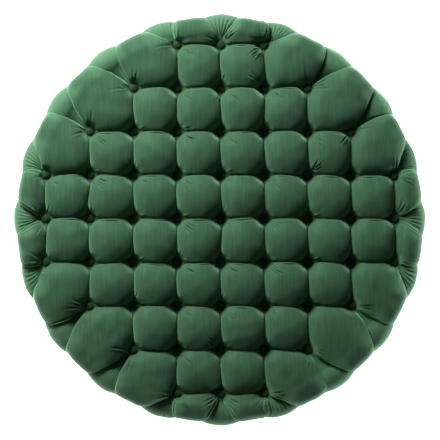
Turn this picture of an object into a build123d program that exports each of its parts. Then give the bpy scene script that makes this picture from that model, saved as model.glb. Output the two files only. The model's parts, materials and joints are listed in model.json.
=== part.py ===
"""Round button-tufted storage ottoman: an upholstered drum on six feet, with a deep-buttoned lid on rear hinges.

Units are millimetres. +Z is up and the origin is on the floor, at the drum's centre. The hinges are at +Y.
"""

from build123d import *
from math import acos, asin, cos, degrees, hypot, radians, sin
import os

# ---- Driving dimensions -------------------------------------------------------------------------
overall_radius = 500  # widest line of the lid's padding
overall_height = 440  # crown of the lid

# Lid padding, seen in section
lid_underside = 289  # lowest face of the lid's cover
shoulder_radius = 80  # from the widest line up to the flat crown
flare_radius = 83  # from the lid's lower edge out to the widest line
lid_edge_radius = 480  # lid's side just above its underside
cover_thickness = 2
lid_board_radius, lid_board_thickness = 452, 18
lid_cover_hem = 420  # inner edge of the cloth stapled under the board

# Button tufting
tuft_pitch = 106
tuft_reach = 443  # a grid point further out than this has no button
border_reach = 360  # buttons beyond this are in the outermost ring
button_radius, button_height = 11, 8
tuft_depth, border_tuft_depth = 44, 34  # from the crown down to a button's face
pocket_seat_radius, pocket_mouth_radius, pocket_height = 12.5, 29, 60
twine_radius, twine_hole_radius = 1.0, 1.1
backer_radius, backer_thickness, backer_recess_radius = 8, 2.5, 9

# Drum
rim_height = 285  # top of the drum, where the lid's bumpers stand
base_radius = 490
base_edge_radius = 22
base_underside = 38
panel_radius = 442  # floor panel, top ring and outer skin
floor_panel_bottom, floor_panel_thickness = 40, 12
ring_thickness, lower_ring_thickness = 18, 15
outer_skin_thickness, inner_panel_thickness = 4, 3
well_radius = 404  # inside of the inner panel
lining_thickness = 1.2
base_cover_hem, rim_seam_radius = 400, 425
stud_count, stud_width = 10, 40
side_button_count, side_button_height, side_button_seat = 20, 205, 472
side_pocket_mouth_radius = 25

# Feet
foot_count, foot_circle_radius = 6, 345
foot_top_radius, foot_bottom_radius, glide_radius, glide_thickness = 28, 19, 17, 3
bolt_radius, tee_nut_radius, tee_flange_radius, tee_flange_thickness = 4, 5.5, 10, 1.5

# Piping and bumpers
piping_radius = 3.5
bumper_radius, bumper_circle_radius = 6, 431
bumper_angles = (0, 45, 135, 180, 225, 270, 315)

# Hinges
hinge_axis_y, hinge_axis_z = 490, 287
hinge_centres_x = (-80, 80)
hinge_width, hinge_end_y = 36, 402
leaf_thickness = 1.8
knuckle_radius, knuckle_bore, hinge_pin_radius = 5, 2.55, 2.5
knuckle_half, knuckle_gap = 6, 0.3
hinge_screw_places = ((-9, 424), (9, 424), (0, 410))
screw_head_radius, screw_shank_radius, screw_length = 3.75, 2, 15

# Lid stays: each slotted arm turns on the lid at A and slides over a stud at B on the drum. A and B are the same
# distance from the hinge axis, so that the arm turns by exactly half the lid's angle.
stay_x = 150.5  # inner face of the right arm
stay_reach, stay_drop = 150, 6  # A, measured from the hinge axis
stay_stud_angle = 9  # B's angle below the horizontal through the hinge axis
lid_open_angle = 75
arm_thickness, arm_width, arm_end = 3, 16, 11
stud_radius, slot_clearance = 3, 0.3
rivet_radius, rivet_head_radius = 2.5, 5
stud_head_radius = 6
bracket_gap = 0.5
bracket_flange_thickness = 1.8

# ---- Places worked out from them ----------------------------------------------------------------
lid_padding_bottom = lid_underside + cover_thickness
lid_board_top = lid_padding_bottom + lid_board_thickness
bulge_height = overall_height - shoulder_radius  # height of the widest line
rim_cloth = rim_height - cover_thickness
floor_top = floor_panel_bottom + floor_panel_thickness

buttons = []
for column in range(-4, 5):
    for row in range(-4, 5):
        button_x, button_y = column * tuft_pitch, row * tuft_pitch
        reach = hypot(button_x, button_y)
        if reach > tuft_reach:
            continue
        depth = border_tuft_depth if reach > border_reach else tuft_depth
        buttons.append((button_x, button_y, overall_height - depth - button_height))

stay_radius = hypot(stay_reach, stay_drop)
stay_pivot = (hinge_axis_y - stay_reach, hinge_axis_z - stay_drop)
stay_stud = (
    hinge_axis_y - stay_radius * cos(radians(stay_stud_angle)),
    hinge_axis_z - stay_radius * sin(radians(stay_stud_angle)),
)
stay_closed_angle = stay_stud_angle - degrees(asin(stay_drop / stay_radius))
slot_start = 2 * stay_radius * sin(radians(stay_closed_angle / 2))
slot_end = 2 * stay_radius * sin(radians((lid_open_angle + stay_closed_angle) / 2))
arm_tilt = (stay_stud_angle + degrees(asin(stay_drop / stay_radius))) / 2

os.makedirs("parts", exist_ok=True)


def save(piece, name):
    """Writes one sub-part to its own STEP file."""
    piece.part.label = name
    export_step(piece.part, f"parts/{name}.step")


def ring(inner, outer, bottom, top):
    """A flat-faced ring, or a disc where inner is 0."""
    with BuildPart(mode=Mode.PRIVATE) as made:
        with BuildSketch(Plane.XY.offset(bottom)):
            Circle(outer)
            if inner:
                Circle(inner, mode=Mode.SUBTRACT)
        extrude(amount=top - bottom)
    return made


# A revolved surface's seam lies in the plane it's drawn on, so the padding's is turned clear of the buttons.
seam_plane = Plane.XZ.rotated((0, 0, 11))
base_seam_plane = Plane.XZ.rotated((0, 0, 5))


# ---- Lid padding --------------------------------------------------------------------------------
def lid_envelope(grow, hem=False):
    """The lid's padding out to its cover's outer face moved by grow, with a recess for the board."""
    edge = lid_edge_radius + grow
    flare_angle = degrees(acos((edge - overall_radius - grow) / (flare_radius + grow) + 1))
    with BuildPart(mode=Mode.PRIVATE) as made:
        with BuildSketch(seam_plane):
            with BuildLine():
                widest = (overall_radius + grow, bulge_height)
                flare = JernArc(widest, (0, -1), flare_radius + grow, -flare_angle)
                shoulder = JernArc(widest, (0, 1), shoulder_radius + grow, 90)
                under = [(edge, lid_padding_bottom), (lid_board_radius, lid_padding_bottom)]
                if hem:
                    under = [
                        (edge, lid_underside),
                        (lid_cover_hem, lid_underside),
                        (lid_cover_hem, lid_padding_bottom),
                        (lid_board_radius, lid_padding_bottom),
                    ]
                Polyline(
                    shoulder @ 1,
                    (0, overall_height + grow),
                    (0, lid_board_top),
                    (lid_board_radius, lid_board_top),
                    *reversed(under),
                    flare @ 1,
                )
            make_face()
        revolve(axis=Axis.Z)
        with Locations(*[(x, y, z + grow) for x, y, z in buttons]):
            Cone(
                pocket_seat_radius - grow,
                pocket_mouth_radius - grow,
                pocket_height,
                align=(Align.CENTER, Align.CENTER, Align.MIN),
                mode=Mode.SUBTRACT,
            )
    return made


def twine_holes():
    """Straight holes for the tufting twine, from each button down to the board's underside."""
    with BuildPart(mode=Mode.PRIVATE) as made:
        for x, y, z in buttons:
            with Locations((x, y, lid_padding_bottom)):
                Cylinder(
                    twine_hole_radius,
                    z + button_height - lid_padding_bottom,
                    align=(Align.CENTER, Align.CENTER, Align.MIN),
                )
    return made


through = twine_holes().part
lid_under_cover = lid_envelope(-cover_thickness).part

with BuildPart() as lid_foam:
    add(lid_under_cover)
    add(through, mode=Mode.SUBTRACT)
save(lid_foam, "lid_foam")

with BuildPart() as twine:
    for x, y, z in buttons:
        with Locations((x, y, lid_padding_bottom + backer_thickness)):
            Cylinder(
                twine_radius,
                z - lid_padding_bottom - backer_thickness,
                align=(Align.CENTER, Align.CENTER, Align.MIN),
            )
save(twine, "lid_tufting_twine")


def covered_button():
    """A cloth-covered button standing on its back, with a domed face and a rounded rim."""
    rim = 3
    with BuildPart(mode=Mode.PRIVATE) as made:
        with BuildSketch(Plane.XZ):
            with BuildLine():
                face = ThreePointArc(
                    (0, button_height),
                    (button_radius * 0.6, button_height - 1.1),
                    (button_radius, rim),
                )
                back = ThreePointArc(face @ 1, (button_radius - 0.6, 1.2), (button_radius - 2.5, 0))
                Polyline(back @ 1, (0, 0), face @ 0)
            make_face()
        revolve(axis=Axis.Z)
    return made.part


with BuildPart() as lid_buttons:
    with Locations(*buttons):
        add(covered_button())
save(lid_buttons, "lid_buttons")

with BuildPart() as lid_backers:
    with Locations(*[(x, y, lid_padding_bottom) for x, y, _ in buttons]):
        Cylinder(backer_radius, backer_thickness, align=(Align.CENTER, Align.CENTER, Align.MIN))
save(lid_backers, "lid_twine_backers")


# ---- Screws -------------------------------------------------------------------------------------
def countersunk_screw():
    """A screw with its head's flat face at the origin, pointing down."""
    head = screw_head_radius - screw_shank_radius
    with BuildPart(mode=Mode.PRIVATE) as made:
        with BuildSketch(Plane.XZ):
            with BuildLine():
                Polyline(
                    (0, 0),
                    (screw_head_radius, 0),
                    (screw_shank_radius, -head),
                    (screw_shank_radius, -screw_length + screw_shank_radius),
                    (0, -screw_length),
                    close=True,
                )
            make_face()
        revolve(axis=Axis.Z)
    return made.part


def screws(places, height, pointing_up=False):
    """Countersunk screws at (x, y) places, with their heads' faces at one height."""
    turn = 180 if pointing_up else 0
    with BuildPart(mode=Mode.PRIVATE) as made:
        for x, y in places:
            with Locations(Location((x, y, height), (turn, 0, 0))):
                add(countersunk_screw())
    return made


hinge_places = [(x + dx, y) for x in hinge_centres_x for dx, y in hinge_screw_places]
base_leaf_top = rim_height + leaf_thickness
lid_leaf_bottom = lid_underside - leaf_thickness
base_hinge_screws = screws(hinge_places, base_leaf_top)
save(base_hinge_screws, "hinge_base_screws")
lid_hinge_screws = screws(hinge_places, lid_leaf_bottom, pointing_up=True)
save(lid_hinge_screws, "hinge_lid_screws")

lining_bottom = lid_padding_bottom - 1
lid_bracket_places = [(side * x, y) for side in (-1, 1) for x, y in ((129, 330), (129, 350))]
lid_stay_screws = screws(
    lid_bracket_places, lining_bottom - bracket_flange_thickness, pointing_up=True
)
save(lid_stay_screws, "stay_lid_screws")
drum_bracket_places = [(side * x, y) for side in (-1, 1) for x, y in ((170, 384), (170, 400))]
drum_stay_screws = screws(drum_bracket_places, rim_height + bracket_flange_thickness)
save(drum_stay_screws, "stay_drum_screws")

# ---- Lid cover, board and lining ----------------------------------------------------------------
with BuildPart() as lid_cover:
    add(lid_envelope(0, hem=True).part)
    add(lid_under_cover, mode=Mode.SUBTRACT)
    add(through, mode=Mode.SUBTRACT)
    add(lid_hinge_screws.part, mode=Mode.SUBTRACT)
save(lid_cover, "lid_cover")

with BuildPart() as lid_board:
    add(ring(0, lid_board_radius, lid_padding_bottom, lid_board_top).part)
    with Locations(*[(x, y, lid_padding_bottom) for x, y, _ in buttons]):
        Cylinder(
            backer_recess_radius,
            backer_thickness,
            align=(Align.CENTER, Align.CENTER, Align.MIN),
            mode=Mode.SUBTRACT,
        )
    add(through, mode=Mode.SUBTRACT)
    add(lid_hinge_screws.part, mode=Mode.SUBTRACT)
    add(lid_stay_screws.part, mode=Mode.SUBTRACT)
save(lid_board, "lid_board")

with BuildPart() as lid_lining:
    add(ring(0, lid_cover_hem, lining_bottom, lid_padding_bottom).part)
    add(lid_hinge_screws.part, mode=Mode.SUBTRACT)
    add(lid_stay_screws.part, mode=Mode.SUBTRACT)
save(lid_lining, "lid_lining")

with BuildPart() as lid_piping:
    with BuildSketch(Plane.XZ):
        with Locations((lid_edge_radius + piping_radius, lid_underside + 1 + piping_radius)):
            Circle(piping_radius)
    revolve(axis=Axis.Z)
save(lid_piping, "lid_piping")


# ---- Drum padding -------------------------------------------------------------------------------
def drum_envelope(grow, hem=False):
    """The drum's padding out to its cover's outer face moved by grow, around the outer skin."""
    edge = base_edge_radius + grow
    side = base_radius + grow
    turn = base_radius - base_edge_radius
    low = base_underside - grow
    high = rim_height + grow
    with BuildPart(mode=Mode.PRIVATE) as made:
        with BuildSketch(base_seam_plane):
            with BuildLine():
                bottom_round = JernArc((turn, low), (1, 0), edge, 90)
                top_round = JernArc((side, high - edge), (0, 1), edge, 90)
                Line(bottom_round @ 1, top_round @ 0)
                inner = [(panel_radius, high), (panel_radius, low)]
                if hem:
                    inner = [
                        (rim_seam_radius, high),
                        (rim_seam_radius, rim_cloth),
                        (panel_radius, rim_cloth),
                        (panel_radius, floor_panel_bottom),
                        (base_cover_hem, floor_panel_bottom),
                        (base_cover_hem, low),
                    ]
                Polyline(top_round @ 1, *inner, bottom_round @ 0)
            make_face()
        revolve(axis=Axis.Z)
        with Locations((0, 0, side_button_height)):
            with PolarLocations(
                side_button_seat + grow, side_button_count, start_angle=180 / side_button_count
            ):
                Cone(
                    pocket_seat_radius - grow,
                    side_pocket_mouth_radius - grow,
                    base_edge_radius,
                    rotation=(0, 90, 0),
                    align=(Align.CENTER, Align.CENTER, Align.MIN),
                    mode=Mode.SUBTRACT,
                )
    return made


def side_rods(radius, start, end):
    """Radial cylinders at the drum's buttons, between two distances from the drum's axis."""
    with BuildPart(mode=Mode.PRIVATE) as made:
        with Locations((0, 0, side_button_height)):
            with PolarLocations(start, side_button_count, start_angle=180 / side_button_count):
                Cylinder(
                    radius,
                    end - start,
                    rotation=(0, 90, 0),
                    align=(Align.CENTER, Align.CENTER, Align.MIN),
                )
    return made


side_backer_face = panel_radius - outer_skin_thickness - 0.2
side_holes = side_rods(twine_hole_radius, side_backer_face, side_button_seat + 1).part
drum_under_cover = drum_envelope(-cover_thickness).part

with BuildPart() as base_foam:
    add(drum_under_cover)
    add(side_holes, mode=Mode.SUBTRACT)
save(base_foam, "base_foam")

with BuildPart() as base_cover:
    add(drum_envelope(0, hem=True).part)
    add(drum_under_cover, mode=Mode.SUBTRACT)
    add(side_holes, mode=Mode.SUBTRACT)
    add(base_hinge_screws.part, mode=Mode.SUBTRACT)
    add(drum_stay_screws.part, mode=Mode.SUBTRACT)
save(base_cover, "base_cover")

save(side_rods(twine_radius, side_backer_face, side_button_seat), "base_tufting_twine")
save(
    side_rods(backer_radius, side_backer_face - backer_thickness, side_backer_face),
    "base_twine_backers",
)

with BuildPart() as base_buttons:
    with Locations((0, 0, side_button_height)):
        with PolarLocations(
            side_button_seat, side_button_count, start_angle=180 / side_button_count
        ):
            add(covered_button(), rotation=(0, 90, 0))
save(base_buttons, "base_buttons")

# ---- Drum frame ---------------------------------------------------------------------------------
with BuildPart() as upper_ring:
    add(
        ring(
            well_radius + inner_panel_thickness, panel_radius, rim_cloth - ring_thickness, rim_cloth
        ).part
    )
    add(base_hinge_screws.part, mode=Mode.SUBTRACT)
    add(drum_stay_screws.part, mode=Mode.SUBTRACT)
save(upper_ring, "upper_ring")

skin_inside = panel_radius - outer_skin_thickness
stud_bottom = floor_top + lower_ring_thickness
stud_top = rim_cloth - ring_thickness
save(ring(well_radius + inner_panel_thickness, skin_inside, floor_top, stud_bottom), "lower_ring")
save(ring(well_radius, well_radius + inner_panel_thickness, floor_top, rim_cloth), "inner_panel")

with BuildPart() as outer_skin:
    add(ring(skin_inside, panel_radius, floor_top, stud_top).part)
    add(side_holes, mode=Mode.SUBTRACT)
save(outer_skin, "outer_skin")

with BuildPart() as studs:
    with BuildSketch(Plane.XY.offset(stud_bottom)):
        Circle(skin_inside)
        Circle(well_radius + inner_panel_thickness, mode=Mode.SUBTRACT)
        with BuildSketch(mode=Mode.INTERSECT):
            with PolarLocations(0, stud_count):
                Rectangle(skin_inside * 2, stud_width, align=(Align.MIN, Align.CENTER))
    extrude(amount=stud_top - stud_bottom)
save(studs, "frame_studs")

with BuildPart() as wall_lining:
    with BuildSketch(Plane.XZ):
        with BuildLine():
            Polyline(
                (well_radius - lining_thickness, floor_top + lining_thickness),
                (well_radius - lining_thickness, rim_height),
                (rim_seam_radius, rim_height),
                (rim_seam_radius, rim_cloth),
                (well_radius, rim_cloth),
                (well_radius, floor_top + lining_thickness),
                close=True,
            )
        make_face()
    revolve(axis=Axis.Z)
    add(base_hinge_screws.part, mode=Mode.SUBTRACT)
    add(drum_stay_screws.part, mode=Mode.SUBTRACT)
save(wall_lining, "well_wall_lining")
save(ring(0, well_radius, floor_top, floor_top + lining_thickness), "well_floor_lining")

with BuildPart() as bumpers:
    for angle in bumper_angles:
        with Locations(
            (
                bumper_circle_radius * cos(radians(angle)),
                bumper_circle_radius * sin(radians(angle)),
                rim_height,
            )
        ):
            Cylinder(
                bumper_radius,
                lid_underside - rim_height,
                align=(Align.CENTER, Align.CENTER, Align.MIN),
            )
save(bumpers, "rim_bumpers")

# ---- Feet ---------------------------------------------------------------------------------------
foot_top = floor_panel_bottom - 1  # under the dust cover
bolt_bottom, bolt_top = 20, floor_top - 2
foot_places = [
    (
        foot_circle_radius * cos(radians(30 + 60 * index)),
        foot_circle_radius * sin(radians(30 + 60 * index)),
    )
    for index in range(foot_count)
]


def uprights(radius, bottom, top):
    """A cylinder on each foot's axis."""
    with BuildPart(mode=Mode.PRIVATE) as made:
        with Locations(*[(x, y, bottom) for x, y in foot_places]):
            Cylinder(radius, top - bottom, align=(Align.CENTER, Align.CENTER, Align.MIN))
    return made


bolts = uprights(bolt_radius, bolt_bottom, bolt_top)
save(bolts, "foot_bolts")

with BuildPart() as tee_nuts:
    add(uprights(tee_nut_radius, floor_panel_bottom, floor_top).part)
    add(uprights(tee_flange_radius, floor_top - tee_flange_thickness, floor_top).part)
    add(uprights(bolt_radius, floor_panel_bottom, floor_top).part, mode=Mode.SUBTRACT)
save(tee_nuts, "foot_tee_nuts")

with BuildPart() as floor_panel:
    add(ring(0, panel_radius, floor_panel_bottom, floor_top).part)
    add(uprights(tee_nut_radius, floor_panel_bottom, floor_top).part, mode=Mode.SUBTRACT)
    add(
        uprights(tee_flange_radius, floor_top - tee_flange_thickness, floor_top).part,
        mode=Mode.SUBTRACT,
    )
save(floor_panel, "floor_panel")

with BuildPart() as dust_cover:
    add(ring(0, base_cover_hem, foot_top, floor_panel_bottom).part)
    add(uprights(bolt_radius, foot_top, floor_panel_bottom).part, mode=Mode.SUBTRACT)
save(dust_cover, "dust_cover")

for index, (x, y) in enumerate(foot_places):
    with BuildPart() as foot:
        with BuildSketch(Plane.XZ):
            with BuildLine():
                bead = ThreePointArc(
                    (foot_top_radius - 1, foot_top),
                    (foot_top_radius, foot_top - 3),
                    (foot_top_radius - 2, foot_top - 6),
                )
                side = ThreePointArc(
                    bead @ 1,
                    ((foot_top_radius + foot_bottom_radius) / 2 - 1, foot_top / 2),
                    (foot_bottom_radius, glide_thickness),
                )
                Polyline(
                    side @ 1,
                    (0, glide_thickness),
                    (0, bolt_bottom),
                    (bolt_radius, bolt_bottom),
                    (bolt_radius, foot_top),
                    bead @ 0,
                )
            make_face()
        revolve(axis=Axis.Z)
    foot.part.locate(Location((x, y, 0)))
    save(foot, f"foot_{index + 1}")

save(uprights(glide_radius, 0, glide_thickness), "foot_glides")


# ---- Hinges -------------------------------------------------------------------------------------
def knuckle(x_start, x_end, radius):
    """A cylinder along the hinge axis between two x values."""
    with BuildPart(mode=Mode.PRIVATE) as made:
        with Locations(Location((x_start, hinge_axis_y, hinge_axis_z), (0, 90, 0))):
            Cylinder(radius, x_end - x_start, align=(Align.CENTER, Align.CENTER, Align.MIN))
    return made.part


def leaf(centre, bottom, knuckles, screw_group):
    """A hinge leaf: a strap from the screws to the axis, with knuckles over the given x ranges."""
    half = hinge_width / 2
    with BuildPart(mode=Mode.PRIVATE) as made:
        with BuildSketch(Plane.XY.offset(bottom)):
            with BuildLine():
                low_left = (centre - half, hinge_end_y)
                Polyline(
                    low_left,
                    (centre + half, hinge_end_y),
                    (centre + half, hinge_axis_y - knuckle_radius - 1),
                    (centre - half, hinge_axis_y - knuckle_radius - 1),
                    close=True,
                )
            strap = make_face()
            fillet(strap.vertices().group_by(Axis.Y)[0], 8)
            for start, end in knuckles:
                with Locations(((start + end) / 2, hinge_axis_y)):
                    Rectangle(
                        end - start, knuckle_radius + 1.5, align=(Align.CENTER, Align.MAX)
                    )
        extrude(amount=leaf_thickness)
        for start, end in knuckles:
            add(knuckle(start, end, knuckle_radius))
        add(knuckle(centre - half - 1, centre + half + 1, knuckle_bore), mode=Mode.SUBTRACT)
        add(screw_group, mode=Mode.SUBTRACT)
    return made


for side_name, centre in zip(("left", "right"), hinge_centres_x):
    half = hinge_width / 2
    outer_knuckles = [
        (centre - half, centre - knuckle_half),
        (centre + knuckle_half, centre + half),
    ]
    middle = [(centre - knuckle_half + knuckle_gap, centre + knuckle_half - knuckle_gap)]
    save(
        leaf(centre, rim_height, outer_knuckles, base_hinge_screws.part),
        f"hinge_{side_name}_base_leaf",
    )
    save(
        leaf(centre, lid_leaf_bottom, middle, lid_hinge_screws.part),
        f"hinge_{side_name}_lid_leaf",
    )
    with BuildPart() as pin:
        add(knuckle(centre - half, centre + half, hinge_pin_radius))
    save(pin, f"hinge_{side_name}_pin")

# ---- Lid stays ----------------------------------------------------------------------------------
side_plane = Plane(origin=(0, 0, 0), x_dir=(0, 1, 0), z_dir=(1, 0, 0))  # local x is +Y, local y is +Z
lid_web_outer = stay_x - bracket_gap
drum_web_inner = stay_x + arm_thickness + bracket_gap
web_thickness = 3


def disc(place, radius, x_start, x_end):
    """A short cylinder along X, centred on a (y, z) place."""
    with BuildPart(mode=Mode.PRIVATE) as made:
        with BuildSketch(side_plane.offset(x_start)):
            with Locations(place):
                Circle(radius)
        extrude(amount=x_end - x_start)
    return made.part


def stay_arm():
    """The slotted arm of the right stay, hanging from its rivet."""
    arm_plane = Plane(
        origin=(stay_x, *stay_pivot),
        x_dir=(0, sin(radians(arm_tilt)), -cos(radians(arm_tilt))),
        z_dir=(1, 0, 0),
    )
    length = slot_end + arm_end
    with BuildPart(mode=Mode.PRIVATE) as made:
        with BuildSketch(arm_plane):
            with Locations((length / 2 - arm_width / 4, 0)):
                SlotOverall(length + arm_width / 2, arm_width)
            with Locations(((slot_start + slot_end) / 2, 0)):
                SlotCenterToCenter(
                    slot_end - slot_start + 1,
                    (stud_radius + slot_clearance) * 2,
                    mode=Mode.SUBTRACT,
                )
            Circle(rivet_radius + 0.05, mode=Mode.SUBTRACT)
        extrude(amount=arm_thickness)
    return made.part


def stay_rivet():
    """Joins the arm to the lid's bracket. It turns with the bracket."""
    head = 1.8
    inner_face = lid_web_outer - web_thickness
    outer_face = stay_x + arm_thickness + 0.3
    with BuildPart(mode=Mode.PRIVATE) as made:
        add(disc(stay_pivot, rivet_radius, inner_face - head, outer_face + head))
        add(disc(stay_pivot, rivet_head_radius, inner_face - head, inner_face))
        add(disc(stay_pivot, rivet_head_radius, outer_face, outer_face + head))
    return made.part


def stay_lid_bracket():
    """An angle screwed under the lid, with a web that hangs beside the arm."""
    inner = lid_web_outer - web_thickness
    half_flange, half_web, ear = 19, 13, 6
    with BuildPart(mode=Mode.PRIVATE) as made:
        with BuildSketch(side_plane.offset(inner)):
            with BuildLine():
                y, z = stay_pivot
                nose = ThreePointArc((y - ear, z), (y, z - ear), (y + ear, z))
                Polyline(
                    nose @ 1,
                    (y + half_web, lining_bottom),
                    (y - half_web, lining_bottom),
                    nose @ 0,
                )
            make_face()
        extrude(amount=web_thickness)
        with BuildSketch(Plane.XY.offset(lining_bottom - bracket_flange_thickness)):
            with Locations((lid_web_outer, stay_pivot[0])):
                flange = Rectangle(32, half_flange * 2, align=(Align.MAX, Align.CENTER))
            fillet(flange.vertices().group_by(Axis.X)[0], 5)
        extrude(amount=bracket_flange_thickness)
        add(disc(stay_pivot, rivet_radius, inner - 1, lid_web_outer + 1), mode=Mode.SUBTRACT)
        add(lid_stay_screws.part, mode=Mode.SUBTRACT)
    return made.part


def stay_drum_bracket():
    """An angle screwed on the rim, with a web that reaches into the well and holds the stud."""
    stud_y, stud_z = stay_stud
    ear = 8
    flange_top = rim_height + bracket_flange_thickness
    with BuildPart(mode=Mode.PRIVATE) as made:
        with BuildSketch(side_plane.offset(drum_web_inner)):
            with BuildLine():
                nose = ThreePointArc(
                    (stud_y, stud_z + ear), (stud_y - ear, stud_z), (stud_y, stud_z - ear)
                )
                Polyline(
                    nose @ 1,
                    (stud_y + ear, stud_z - ear),
                    (370, 275),
                    (370, flange_top),
                    (353, flange_top),
                    (353, 279),
                    nose @ 0,
                )
            make_face()
        extrude(amount=web_thickness)
        with BuildSketch(Plane.XY.offset(rim_height)):
            with Locations((drum_web_inner, 353)):
                flange = Rectangle(32, 59, align=(Align.MIN, Align.MIN))
            fillet(flange.vertices().group_by(Axis.X)[-1], 5)
        extrude(amount=bracket_flange_thickness)
        add(
            disc(stay_stud, stud_radius, drum_web_inner - 1, drum_web_inner + web_thickness + 1),
            mode=Mode.SUBTRACT,
        )
        add(drum_stay_screws.part, mode=Mode.SUBTRACT)
    return made.part


def stay_slide_stud():
    """The headed stud that runs in the arm's slot."""
    head = 2.2
    start = stay_x - bracket_gap
    end = drum_web_inner + web_thickness
    with BuildPart(mode=Mode.PRIVATE) as made:
        add(disc(stay_stud, stud_radius, start, end))
        add(disc(stay_stud, stud_head_radius, start - head, start))
        add(disc(stay_stud, stud_radius + 1.5, end, end + 1.5))
    return made.part


stay_pieces = {
    "arm": stay_arm(),
    "rivet": stay_rivet(),
    "lid_bracket": stay_lid_bracket(),
    "drum_bracket": stay_drum_bracket(),
    "slide_stud": stay_slide_stud(),
}
for piece_name, piece in stay_pieces.items():
    with BuildPart() as right_piece:
        add(piece)
    save(right_piece, f"stay_right_{piece_name}")
    with BuildPart() as left_piece:
        add(mirror(piece, about=Plane.YZ, mode=Mode.PRIVATE))
    save(left_piece, f"stay_left_{piece_name}")
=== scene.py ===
"""Looks of the round button-tufted storage ottoman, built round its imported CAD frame.

Metres, +Z up, hinges at +Y. Each velvet cover starts as flat-laid cloth. Buttons and creases have their
places on it, every patch between them is crowned like a stuffed pillow, folds and gathers are drawn in, and
it is then folded onto the lid's or the drum's section. The CAD frame gives the sizes, and all the other
pieces keep their CAD shape, with a material of their own.
"""

import bpy
import json
import math
import numpy as np
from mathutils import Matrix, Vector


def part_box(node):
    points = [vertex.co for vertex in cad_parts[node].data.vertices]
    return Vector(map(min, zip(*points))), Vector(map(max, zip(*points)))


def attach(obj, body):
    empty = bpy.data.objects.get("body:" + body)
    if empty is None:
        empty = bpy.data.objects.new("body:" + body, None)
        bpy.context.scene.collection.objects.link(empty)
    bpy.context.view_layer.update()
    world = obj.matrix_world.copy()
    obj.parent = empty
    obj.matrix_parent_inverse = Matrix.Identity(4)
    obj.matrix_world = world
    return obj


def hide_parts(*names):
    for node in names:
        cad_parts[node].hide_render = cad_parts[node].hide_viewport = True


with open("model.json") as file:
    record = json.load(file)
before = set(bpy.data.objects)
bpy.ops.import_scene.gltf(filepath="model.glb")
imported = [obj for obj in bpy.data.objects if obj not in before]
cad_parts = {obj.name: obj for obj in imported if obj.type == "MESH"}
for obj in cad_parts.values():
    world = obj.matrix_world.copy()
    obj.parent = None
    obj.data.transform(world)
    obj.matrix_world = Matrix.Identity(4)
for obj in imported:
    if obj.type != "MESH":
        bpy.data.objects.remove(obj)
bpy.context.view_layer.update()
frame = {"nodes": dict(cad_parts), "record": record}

# ---- Places read from the frame -----------------------------------------------------------------
lid_low, lid_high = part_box("lid_cover")
drum_low, drum_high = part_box("base_cover")
button_low, button_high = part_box("lid_buttons")
lining_low, lining_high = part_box("lid_lining")
side_button_low, side_button_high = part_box("base_buttons")

LID_RADIUS = round(lid_high.x, 3)
LID_TOP = lid_high.z
LID_UNDER = lid_low.z
BUTTON_RADIUS, BUTTON_HEIGHT = 0.011, 0.008
ON_SEAT = 0.0008  # the cloth under a button lies this far above its base
HALF_GRID = 4  # pitches from the middle button to the last one of its row
GRID_LIMIT = 4.2  # no button is further from the middle than this, in pitches
BORDER_LIMIT = 3.5  # and the border buttons are further than this
PITCH = (button_high.x - BUTTON_RADIUS) / HALF_GRID
SEAT_INNER = button_low.z
SEAT_BORDER = button_high.z - BUTTON_HEIGHT
HEM_RADIUS = round(lining_high.x, 2)

DRUM_RADIUS = round(drum_high.y, 3)
DRUM_TOP = drum_high.z
DRUM_UNDER = drum_low.z
SIDE_BUTTON_Z = (side_button_low.z + side_button_high.z) / 2
SIDE_SEAT = 0.472  # how far out the bases of the drum's buttons are

# ---- The lid's envelope in section --------------------------------------------------------------
SHOULDER = 0.055  # radius of the shoulder: the stuffed cover fills it more than the foam under it
FLAT = LID_RADIUS - SHOULDER
WIDEST_Z = LID_TOP - SHOULDER
SEAM_RADIUS, SEAM_Z = 0.4805, 0.2925  # where the lid's side meets its piping
FLARE_ANGLE = 2 * math.atan((LID_RADIUS - SEAM_RADIUS) / (WIDEST_Z - SEAM_Z))
FLARE = (WIDEST_Z - SEAM_Z) / math.sin(FLARE_ANGLE)
Q_WIDEST = FLAT + SHOULDER * math.pi / 2
Q_SEAM = Q_WIDEST + FLARE * FLARE_ANGLE

LOBES = 20
STEP = 2 * math.pi / LOBES
PLEAT_HALF = math.radians(5.3)  # half the angle of a gusset at the widest line
PLEAT_SEAM = math.radians(7.0)  # and at the seam
REACH = 0.053  # how far a crease bends the cloth beside it
FOLD_REACH, FOLD_SHARE = 0.0045, 0.45  # the sharp last part of a crease that runs from side to side
LOOSENS = (0.018, 0.044)  # such a crease is round near a button and sharp beyond
CREASE_DEPTH, CREASE_VARIES = 0.0290, 0.0012
CENTRE = (0, 0)
ANY_PHASE = 6.28  # a wave's phase is drawn between 0 and this

# Heights along a pleat and down the middle of a gusset: 0 is the button, 1 the widest line and 2 the seam.
PLEAT_PROFILE = [
    (0, -0.036),
    (0.15, -0.039),
    (0.35, -0.036),
    (0.6, -0.023),
    (0.8, -0.0115),
    (0.92, -0.0070),
    (1, -0.0055),
    (1.5, -0.006),
    (2, -0.004),
]
GUSSET_PROFILE = [
    (0.15, -0.038),
    (0.35, -0.033),
    (0.6, -0.020),
    (0.8, -0.0070),
    (0.92, -0.0005),
    (1, 0.0025),
    (1.4, 0.0030),
    (2, -0.002),
]
# Height of an outer lobe, from the flat over the shoulder and down the side to the seam.
LOBE_PROFILE = [
    (0, -0.0080),
    (FLAT, -0.0080),
    (FLAT + SHOULDER * math.radians(30), -0.0060),
    (FLAT + SHOULDER * math.radians(50), -0.0020),
    (FLAT + SHOULDER * math.radians(75), -0.0040),
    (FLAT + SHOULDER * math.radians(90), -0.0080),
    (Q_WIDEST + 0.03, -0.0070),
    (Q_SEAM, -0.0025),
]

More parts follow.
